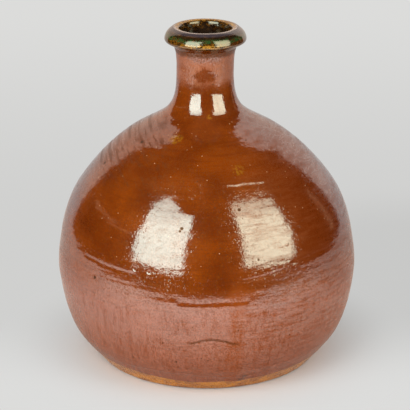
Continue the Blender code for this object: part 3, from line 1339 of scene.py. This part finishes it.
@dataclass
class Coat:
    """A coat of glaze over a stretch of the clay line."""

    name: str
    node: str
    slot: str
    start: float
    stop: float
    line: Line
    relief: Callable[[Skin], Rows]
    edge: Callable[[Rows], Rows] | None = None
    darkening: Callable[[Skin], Rows] | None = None
    thickness: float = 0.8 * MM
    clearance: float = 0.3 * MM
    row_spacing: float = 0.5 * MM
    columns: int = 448
    edge_roll: float = 1.2 * MM
    edge_ease: float = 14 * MM
    edge_row_shares: tuple[float, ...] = (0.0, 0.04, 0.12, 0.25, 0.45, 0.7)
    clay_side_stride: int = 6

    def rows(self, side: Side) -> Rows:
        """Lays out the rows of one side.

        Args:
            side: Which side.

        Returns:
            Their distances along the clay.
        """
        spacing = self.row_spacing if side is Side.SKIN else self.row_spacing * self.clay_side_stride
        count = max(int((self.stop - self.start) / spacing), 4)
        even = np.linspace(self.start, self.stop, count + 1)
        if side is Side.AGAINST_CLAY:
            return even
        roll = self.edge_roll * np.array(self.edge_row_shares)
        inner = even[(even > self.start + self.edge_roll) & (even < self.stop - self.edge_roll)]
        return np.concatenate([self.start + roll, inner, self.stop - roll[::-1]])

    def surface(self, side: Side) -> tuple[Rows, Rows]:
        """Lays out the points of one side.

        Args:
            side: Which side.

        Returns:
            The points, and how much darker each is.
        """
        turns = even_turns(self.columns)
        rows = self.rows(side)[:, None] + 0 * turns
        if self.edge is not None:
            rows = rows + self.edge(turns) * (1 - smooth_step(0, self.edge_ease, rows - self.start))
        lift = np.full_like(rows, self.clearance)
        darkening = np.zeros_like(rows)
        if side is Side.SKIN:
            into = np.minimum(rows - rows[0], rows[-1] - rows)
            rounded = np.sqrt(1 - (1 - np.clip(into / self.edge_roll, 0, 1)) ** 2)
            skin = Skin(self.line, rows, turns + 0 * rows, self.row_spacing, self.clearance + self.thickness)
            lift = lift + (self.thickness + self.relief(skin)) * rounded
            if self.darkening is not None:
                darkening = self.darkening(skin)
        points = self.line.at(rows) + self.line.normals(rows) * lift[..., None]
        return LEAN.place(points[..., 0], points[..., 1], turns), darkening

    def build(self) -> Piece:
        """Makes the coat as a closed shell, with rolled edges.

        Returns:
            The piece.
        """
        skin, skin_darkening = self.surface(Side.SKIN)
        back, back_darkening = self.surface(Side.AGAINST_CLAY)
        piece = lathed(self.name, np.concatenate([skin, back[::-1]]), ring_section=True)
        if self.darkening is not None:
            marks = piece.data.attributes.new("darkening", "FLOAT", "POINT")
            marks.data.foreach_set("value", np.concatenate([skin_darkening, back_darkening[::-1]]).ravel())
        return piece


@dataclass
class ClayBody:
    """The bare clay: the belly, the neck and the slip at the joint between them."""

    clay: ClayLine
    line: Line
    columns: int = 256
    seam: float = 0.9 * MM
    slip_half: float = 0.6 * MM
    floor_gap: float = 0.3 * MM
    spacing: float = 1.0 * MM

    def build(self) -> list[Piece]:
        """Makes the three pieces.

        Returns:
            The belly, the neck and the slip.
        """
        where = self.line.where
        joint = self.clay.joint_height
        low, high = joint - self.seam, joint + self.seam
        slip_low, slip_high = joint - self.slip_half, joint + self.slip_half
        belly = [
            self.clay.underside(),
            self.stretch(where(self.clay.foot_bevel), where(low)),
            self.stretch(where(low, inside=True), self.line.length - self.floor_gap),
        ]
        neck = [self.stretch(where(high), where(high, inside=True))]
        slip = [
            self.stretch(where(slip_low), where(slip_high)),
            self.stretch(where(slip_high, inside=True), where(slip_low, inside=True)),
        ]
        return [
            self.turned("belly_clay", belly, False),
            self.turned("neck_clay", neck, True),
            self.turned("slip_ring", slip, True),
        ]

    def stretch(self, start: float, stop: float) -> Rows:
        """Points of the clay line between two distances."""
        return self.line.at(np.linspace(start, stop, max(int((stop - start) / self.spacing), 3)))

    def turned(self, name: str, stretches: Sequence[Rows], ring_section: bool) -> Piece:
        """Turns a section about the axis.

        Args:
            name: Name of the piece.
            stretches: The section's points, stretch by stretch.
            ring_section: Whether the section closes on itself.

        Returns:
            The piece.
        """
        section = np.vstack(stretches)
        turns = even_turns(self.columns)
        radii, heights = (section[:, axis, None] + 0 * turns for axis in (0, 1))
        return lathed(name, LEAN.place(radii, heights, turns), ring_section)


@dataclass
class Bottle:
    """The whole bottle: clay, luted joint and four coats of glaze."""

    clay: ClayLine = field(default_factory=ClayLine)
    band_start: float = 1.0 * MM
    band_top: float = 7.6 * MM
    band_climb: float = 1.8 * MM
    band_lap: float = 1.6 * MM
    band_thickness: float = 0.45 * MM
    band_roll: float = 0.5 * MM
    rim_start: float = 189.2 * MM
    rim_lap: float = 0.9 * MM
    rim_depth: float = 6.0 * MM
    body_lap: float = 0.3 * MM
    throat_lap: float = 0.2 * MM
    floor_gap: float = 0.5 * MM
    edge_waves: tuple[int, ...] = (2, 3, 5, 9, 14)
    edge_wander: float = 0.4 * MM
    climb_turns: Fade = (8 * DEGREE, 45 * DEGREE)
    drip_turn: float = 14.5 * DEGREE
    drip_half_width: float = 3.2 * DEGREE
    drip_fall: float = 1.3 * MM
    bead_humps: tuple[tuple[float, float, float], ...] = ((0.75, -26, 22), (0.4, 132, 17), (0.3, 100, 20))
    body_seed: int = 11
    coat_seed: int = 5
    edge_seed: int = 3
    coat_ripple: Ripple = Ripple(0.03 * MM, 4 * MM, 0.1)
    body_ripples: tuple[Ripple, ...] = (
        Ripple(0.020 * MM, 4.2 * MM, 0.16),
        Ripple(0.005 * MM, 1.9 * MM, 0.05),
        Ripple(0.040 * MM, 18 * MM, 0.15),
        Ripple(0.005 * MM, 2.4 * MM, 0.006),
    )
    ridges: tuple[Ridge, ...] = (
        Ridge((10, 16, 20, 31), (123.9, 123.5, 124.1, 123.2), 1.0, 0.14),
        Ridge((-52, -40, -30), (78.1, 77.1, 76.5), 1.3, -0.10),
        Ridge((15, 22, 29), (75.7, 76.6, 78.4), 1.2, -0.10),
        Ridge((36, 46), (80.7, 82.0), 1.2, -0.10),
        Ridge((-9, -2, 6, 14), (63.4, 63.2, 63.8, 63.5), 1.6, -0.16, fade=3.0),
        Ridge((-5, -2, 2, 7, 10), (38.3, 40.0, 40.7, 39.4, 37.2), 0.8, -0.20, darkening=0.8),
        Ridge((-8, -2, 2, 7, 10), (36.2, 38.0, 38.7, 37.4, 35.4), 0.8, 0.12),
        Ridge((-58, -37, -24, -7, 11), (11.6, 14.6, 15.6, 15.0, 11.6), 0.8, 0.12),
        Ridge((-70, 70), (151.4, 151.6), 0.8, 0.05, fade=20),
        Ridge((-180, 180), (148.4, 148.8), 0.7, 0.035, fade=0.1),
    )
    tilts: tuple[Tilt, ...] = (
        Tilt(-6.6, 112.5, 5.4, 7.0, 16.0, -0.12),
        Tilt(-17.5, 115.0, 4.5, 8.0, 8.0, 0.045),
    )
    swells: tuple[Swell, ...] = (
        Swell(56.0, 28.0, 0.42),
        Swell(56.0, 7.0, 0.20),
        Swell(73.0, 9.0, -0.36),
        Swell(98.5, 10.0, 0.45),
        Swell(119.5, 9.0, -0.22),
        Swell(135.5, 7.0, 0.22),
        Swell(143.0, 5.0, -0.10),
    )

    def __post_init__(self) -> None:
        """Measures the clay line once."""
        self.line = self.clay.whole()

    def body_relief(self, skin: Skin) -> Rows:
        """Throwing rings, drawn ridges and the slow unevenness of the body.

        Args:
            skin: The points of the body glaze.

        Returns:
            How far each stands out.
        """
        wheel = Wheel(self.body_seed)
        height = sum(ripple.lift(skin, wheel) for ripple in self.body_ripples)
        for shape in (*self.ridges, *self.tilts, *self.swells):
            height += shape.lift(skin)
        return height

    def body_darkening(self, skin: Skin) -> Rows:
        """How much darker the drawn lines are."""
        return sum(ridge.darkening * ridge.share(skin) for ridge in self.ridges if ridge.darkening)

    def calm(self, skin: Skin) -> Rows:
        """Hardly any relief, for the smaller coats."""
        return self.coat_ripple.lift(skin, Wheel(self.coat_seed))

    def bead(self, skin: Skin) -> Rows:
        """How the rim's glaze gathers low on the roll and over its top, by the angle round it in degrees.

        Args:
            skin: The points of the rim's glaze.

        Returns:
            How far each stands out.
        """
        out = self.line.at(skin.along) - self.clay.roll_centre
        angle = np.arctan2(out[..., 1] + out[..., 0] * math.tan(self.clay.roll_droop), out[..., 0]) / DEGREE
        angle = np.where(angle < -120, angle + 360, angle)
        gathered = sum(rise * hump(angle, middle, half_width) for rise, middle, half_width in self.bead_humps)
        sloped = smooth_step(-8, 55, angle) * (1 - smooth_step(60, 118, angle))
        thinned = 0.5 * sloped + 0.3 * smooth_step(135, 165, angle)
        return (gathered - thinned) * MM + self.calm(skin)

    def on_skin(self, turn: float, height: float) -> Place:
        """Finds a point of the body's skin.

        Args:
            turn: Its turn, in degrees.
            height: Its height on the clay, in millimetres.

        Returns:
            The point, in metres.
        """
        along = np.array(self.line.where(height * MM))
        outward = self.line.normals(along) * (Coat.clearance + Coat.thickness)
        radius, level = self.line.at(along) + outward
        return tuple(LEAN.place(radius, level, np.array(turn * DEGREE)).tolist())

    def edge_wave(self, turns: Rows) -> Rows:
        """How the lower edge of the body glaze wanders.

        Args:
            turns: Where round the axis.

        Returns:
            How far up the clay the edge is moved.
        """
        climb = self.band_climb * smooth_step(*self.climb_turns, np.abs(turns))
        drip = self.drip_fall * hump(turns, self.drip_turn, self.drip_half_width)
        return climb - drip + Wheel(self.edge_seed).swing(turns, self.edge_waves) * self.edge_wander

    def coats(self) -> list[Coat]:
        """Lays out the four coats, each on its stretch of the clay line.

        Returns:
            The body's, the foot's, the rim's and the liner.
        """
        line = self.line
        mouth = self.clay.on_roll(self.clay.roll_end)[1]
        rim = line.where(self.rim_start)
        throat = line.where(mouth - self.rim_depth, inside=True)
        band_top = line.where(self.band_top)
        body = Coat(
            "body_glaze_skin", "body_glaze", "iron_glaze", band_top, rim + self.body_lap, line,
            self.body_relief, self.edge_wave, self.body_darkening, row_spacing=0.45 * MM, columns=640,
        )
        foot = Coat(
            "foot_glaze_skin", "foot_glaze_band", "amber_glaze", line.where(self.band_start),
            band_top + self.band_climb + self.band_lap, line, self.calm,
            thickness=self.band_thickness, edge_roll=self.band_roll,
        )
        collar = Coat(
            "rim_glaze_skin", "rim_glaze", "rim_glaze", rim - self.rim_lap, throat, line, self.bead,
            row_spacing=0.3 * MM, columns=320,
        )
        liner = Coat(
            "liner_glaze_skin", "liner_glaze", "liner_glaze", throat - self.throat_lap,
            line.length - self.floor_gap, line, self.calm, row_spacing=1.5 * MM, columns=256,
        )
        return [body, foot, collar, liner]

    def build(self) -> None:
        """Makes every piece, dresses it and rides it on the bottle."""
        finishes = {
            "iron_glaze": IronGlaze(self.on_skin),
            "amber_glaze": FootGlaze(),
            "rim_glaze": RimGlaze(self.clay),
            "liner_glaze": LinerGlaze(),
            "fired_clay": FiredClay(),
            "joining_slip": FiredClay(name="Joining slip", toasted=linear(170, 118, 80)),
        }
        materials = {slot: finish.material() for slot, finish in finishes.items()}
        pieces = [(coat.build(), coat.node, coat.slot) for coat in self.coats()]
        belly, neck, slip = ClayBody(self.clay, self.line).build()
        pieces.append((belly, "thrown_belly", "fired_clay"))
        pieces.append((neck, "thrown_neck", "fired_clay"))
        pieces.append((slip, "luting_ring", "joining_slip"))
        for piece, node, slot in pieces:
            piece.data.materials.append(materials[slot])
            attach(piece, "root")
            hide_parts(node)
            LOG.info("%s: %d faces", piece.name, len(piece.data.polygons))


def stage_sheet(name: str, corners: Sequence[Place]) -> Piece:
    """Makes a flat four-cornered stage piece.

    Args:
        name: Its name.
        corners: Its corners.

    Returns:
        The piece.
    """
    piece = meshed(name, corners, [(0, 1, 2, 3)])
    return piece


def rectangle(half_width: float, half_height: float) -> list[Place]:
    """Corners of a flat rectangle round the origin."""
    return [(x * half_width, y * half_height, 0) for x, y in ((-1, -1), (1, -1), (1, 1), (-1, 1))]


def glowing(name: str, colour: Colour, strength: float, half_height: float = 0.0) -> Material:
    """A material that only glows.

    Args:
        name: Its name.
        colour: Colour of the glow.
        strength: How bright it is.
        half_height: Half the height of a cloth that dims toward its top and foot; 0 for an even glow.

    Returns:
        The material.
    """
    shelf = Shelf(name)
    shown: Any = colour
    if half_height:
        up = shelf.axes()[1] / half_height
        shown = shelf.painted(colour, (up.rise(0.10, 0.95) * 0.42 + up.rise(-0.3, -1.0) * 0.05, BLACK))
    return shelf.only_glow(shown, strength)


def only_mirrored(piece: Piece) -> None:
    """Hides a stage piece from everything but reflections."""
    for ray in ("camera", "diffuse", "transmission", "volume_scatter", "shadow"):
        setattr(piece, f"visible_{ray}", False)


@dataclass(frozen=True)
class Panel:
    """A soft lamp panel, placed as its reflection in the glaze shows it."""

    name: str
    azimuth: float
    elevation: float
    yaw: float
    tilt: float
    half_width: float
    half_height: float
    radiance: float
    glow: float
    colour: Colour
    roll: float = 3.0
    distance: float = 0.9

    @staticmethod
    def toward(azimuth: float, elevation: float) -> Vector:
        """Unit way out from the bottle; azimuth 0 is to the camera, growing to the right."""
        a, e = azimuth * DEGREE, elevation * DEGREE
        return Vector((math.sin(a) * math.cos(e), -math.cos(a) * math.cos(e), math.sin(e)))

    def build(self, aim: Vector) -> None:
        """Makes the lamp, and the bright cloth that reflections see in its place.

        Args:
            aim: The point that the panel stands round.
        """
        lamp = bpy.data.lights.new(self.name, "AREA")
        lamp.shape = "RECTANGLE"
        lamp.size = 2 * self.half_width
        lamp.size_y = 2 * self.half_height
        lamp.energy = self.radiance * math.pi * lamp.size * lamp.size_y
        panel = bpy.data.objects.new(self.name, lamp)
        panel.visible_camera = False
        panel.visible_glossy = False
        bpy.context.scene.collection.objects.link(panel)
        cloth = stage_sheet(f"{self.name}_cloth", rectangle(self.half_width, self.half_height))
        cloth.data.materials.append(glowing(f"{self.name} cloth", self.colour, self.glow, self.half_height))
        only_mirrored(cloth)
        face = self.toward(self.azimuth + self.yaw, self.elevation + self.tilt).to_track_quat("Z", "Y")
        for piece in (panel, cloth):
            piece.location = aim + self.toward(self.azimuth, self.elevation) * self.distance
            piece.rotation_mode = "QUATERNION"
            piece.rotation_quaternion = face @ Quaternion((0, 0, 1), -self.roll * DEGREE)


@dataclass(frozen=True)
class Studio:
    """Pale paper with a back wall, two lamp panels and two bars in a dark room.

    A Fade is where a fade over the paper is 0 and where it is 1, in metres.
    """

    aim: Place = (0, 0, 0.1)
    paper: float = 0.645
    background: float = 0.715
    dim_light: float = 0.30
    floor_reach: float = 6.0
    left_edge: float = -0.57
    right_edge: float = 0.59
    front_edge: float = -0.42
    edge_soft: float = 0.01
    back_wall: float = 0.44
    wall_height: float = 1.15
    wall_glow: float = 0.999
    floor_glow: float = 1.892
    contact_fall: Fade = (0.105, 0.066)
    shade_front: Fade = (-0.07, 0.05)
    shade_back: Fade = (0.90, 0.15)
    back_shade: Spot = Spot((0.15, 0.12, 0), 0.18)
    pale_from: Fade = (0.052, 0.130)
    mirrored_from: Fade = (0.055, 0.08)
    front_fall: Fade = (0.10, -0.24)
    foot_fall: Fade = (0.065, 0.14)
    middle_from: Fade = (0.07, 0.20)
    far_from: Fade = (0.18, 0.40)
    # Colour of the painted contact shadow round the foot.
    contact_shadow: Colour = (0.68, 0.640, 0.605)
    near_floor: Colour = (1.05, 0.80, 0.655)
    middle_floor: Colour = (1.08, 0.92, 0.82)
    far_floor: Colour = (0.90, 0.88, 0.86)
    wall_sideways: Fade = (0.0, 0.35)
    wall_upward: Fade = (0.04, 0.25)
    wall_foot: Colour = (0.72, 0.72, 0.71)
    wall_left: Colour = (0.97, 0.78, 0.66)
    wall_right: Colour = (1.19, 1.04, 0.95)
    room_radius: float = 2.6
    room_colour: Colour = (1, 0.9, 0.8)
    room_glow: float = 0.004
    bar_colour: Colour = (1.0, 0.60, 0.35)
    bar_glow: float = 0.6
    left_rail: tuple[Place, ...] = (
        (-1.07, 0.52, 0.44), (-1.09, -0.50, 0.52), (-1.09, -0.50, 0.57), (-1.07, 0.52, 0.49),
    )
    right_stand: tuple[Place, ...] = (
        (1.07, 0.56, 0.05), (1.12, 0.48, 0.05), (1.05, 0.44, 0.62), (1.00, 0.50, 0.62),
    )
    panels: tuple[Panel, ...] = (
        Panel("left_panel", -38.4, 32.1, 12.6, -20.1, 0.308, 0.478, 5.5, 5.5, (0.95, 1.14, 1.01)),
        Panel("right_panel", 54.6, 30.9, -22.9, -17.3, 0.330, 0.460, 2.9, 5.3, (0.95, 0.98, 0.74)),
    )

    def build(self) -> None:
        """Makes the stage, the lamps and the world."""
        self.floor()
        self.wall()
        self.room()
        self.world()
        for panel in self.panels:
            panel.build(Vector(self.aim))
        self.bars()

    def floor(self) -> None:
        """The paper: it keeps the shadow, has a painted shadow round the foot, and far off it runs into the
        pale background.
        """
        piece = stage_sheet("paper_floor", rectangle(self.floor_reach, self.floor_reach))
        shelf = Shelf("Paper")
        x, y, _ = shelf.axes()
        radius = from_axis(x, y)
        # Painted shadow: the paper is painted darker and warmer close round the foot.
        paper = shelf.painted(
            (self.paper, self.paper, self.paper * 0.99), (radius.rise(*self.contact_fall), self.contact_shadow)
        )
        for name, value in {"Base Color": paper, "Roughness": 0.9, "IOR": 1.3}.items():
            shelf.feed(shelf.shader.inputs[name], value)
        shade = y.rise(*self.shade_front) * y.rise(*self.shade_back) * 0.12
        shade = shade + shelf.near(self.back_shade) * 0.07
        far = shelf.painted((self.background, self.background, self.background * 0.985), (shade, BLACK))
        # Painted light and shade of the paper as reflections see it: a glow, brighter toward the front,
        # dimmer close round the foot, and warmer near the bottle.
        tint = shelf.painted(
            self.near_floor,
            ((radius - x * 0.25).rise(*self.middle_from), self.middle_floor),
            (y.rise(*self.far_from), self.far_floor),
        )
        front = (y.rise(*self.front_fall) * 0.61 + 0.39) * (radius.rise(*self.foot_fall) * 0.55 + 0.45)
        lit = shelf.glow(shelf.painted(BLACK, (front, tint)), self.floor_glow)
        on_paper = x.band(self.left_edge, self.right_edge, self.edge_soft)
        on_paper = on_paper * y.rise(self.front_edge - self.edge_soft, self.front_edge)
        mirrored = shelf.rays(Ray.GLOSSY)
        shown = shelf.lay_over(shelf.rays(Ray.CAMERA) * radius.rise(*self.pale_from), shelf.glow(far))
        shown = shelf.lay_over(mirrored * radius.rise(*self.mirrored_from) * 0.9, lit, shown)
        shelf.lay_over(mirrored * (1 - on_paper), shelf.glow(BLACK), shown)
        piece.data.materials.append(shelf.material)

    def wall(self) -> None:
        """The paper's back wall, which only reflections see."""
        left, right, back, top = self.left_edge, self.right_edge, self.back_wall, self.wall_height
        corners = [(left, back, 0), (right, back, 0), (right, back, top), (left, back, top)]
        piece = stage_sheet("paper_wall", corners)
        shelf = Shelf("Paper wall")
        x, _, up = shelf.axes()
        high = shelf.painted(self.wall_left, (x.rise(*self.wall_sideways), self.wall_right))
        tint = shelf.painted(self.wall_foot, (up.rise(*self.wall_upward), high))
        piece.data.materials.append(shelf.only_glow(tint, self.wall_glow))
        only_mirrored(piece)

    def room(self) -> None:
        """The dark room round the paper, which only reflections see."""
        bpy.ops.mesh.primitive_uv_sphere_add(radius=self.room_radius, segments=48, ring_count=24)
        piece = bpy.context.object
        piece.name = "dark_room"
        piece.data.materials.append(glowing("Dark room", self.room_colour, self.room_glow))
        only_mirrored(piece)

    def bars(self) -> None:
        """A rail on the left and a stand on the right, faint lines in the glaze."""
        for name, corners in (("left_rail", self.left_rail), ("right_stand", self.right_stand)):
            piece = stage_sheet(name, corners)
            piece.data.materials.append(glowing(name, self.bar_colour, self.bar_glow))
            only_mirrored(piece)

    def world(self) -> None:
        """Pale to the camera and in mirrors, dim as a light."""
        world = bpy.data.worlds.new("Pale studio")
        world.use_nodes = True
        graph = Graph(world.node_tree)
        seen = graph.rays(Ray.CAMERA).math("MAXIMUM", graph.rays(Ray.GLOSSY))
        values = {"Value": seen, "To Min": self.dim_light, "To Max": self.background}
        strength = graph.node("ShaderNodeMapRange", {}, values)
        background = world.node_tree.nodes["Background"]
        graph.feed(background.inputs["Strength"], strength.outputs[0])
        graph.feed(background.inputs["Color"], (1, 1, 0.985))
        bpy.context.scene.world = world


@dataclass(frozen=True)
class View:
    """The photograph's camera, fitted to the bottle's outline, foot and mouth."""

    place: Place = (0, -1.0054, 0.4551)
    dip: float = 0.34842
    lens: float = 156.87
    sensor_width: float = 36
    shift: float = -0.0056

    def build(self) -> None:
        """Makes the camera and sets it."""
        lens = bpy.data.cameras.new("Camera")
        lens.sensor_width = self.sensor_width
        lens.lens = self.lens
        lens.shift_x = self.shift
        camera = bpy.data.objects.new("Camera", lens)
        camera.location = self.place
        camera.rotation_euler = (math.pi / 2 - self.dip, 0, 0)
        bpy.context.scene.collection.objects.link(camera)
        bpy.context.scene.camera = camera


def main() -> None:
    """Builds the studio, the bottle and the camera."""
    logging.basicConfig(level=logging.INFO, format="%(name)s: %(message)s")
    bpy.context.scene.view_settings.view_transform = "Standard"
    Studio().build()
    Bottle().build()
    View().build()


if __name__ == "__main__":
    main()
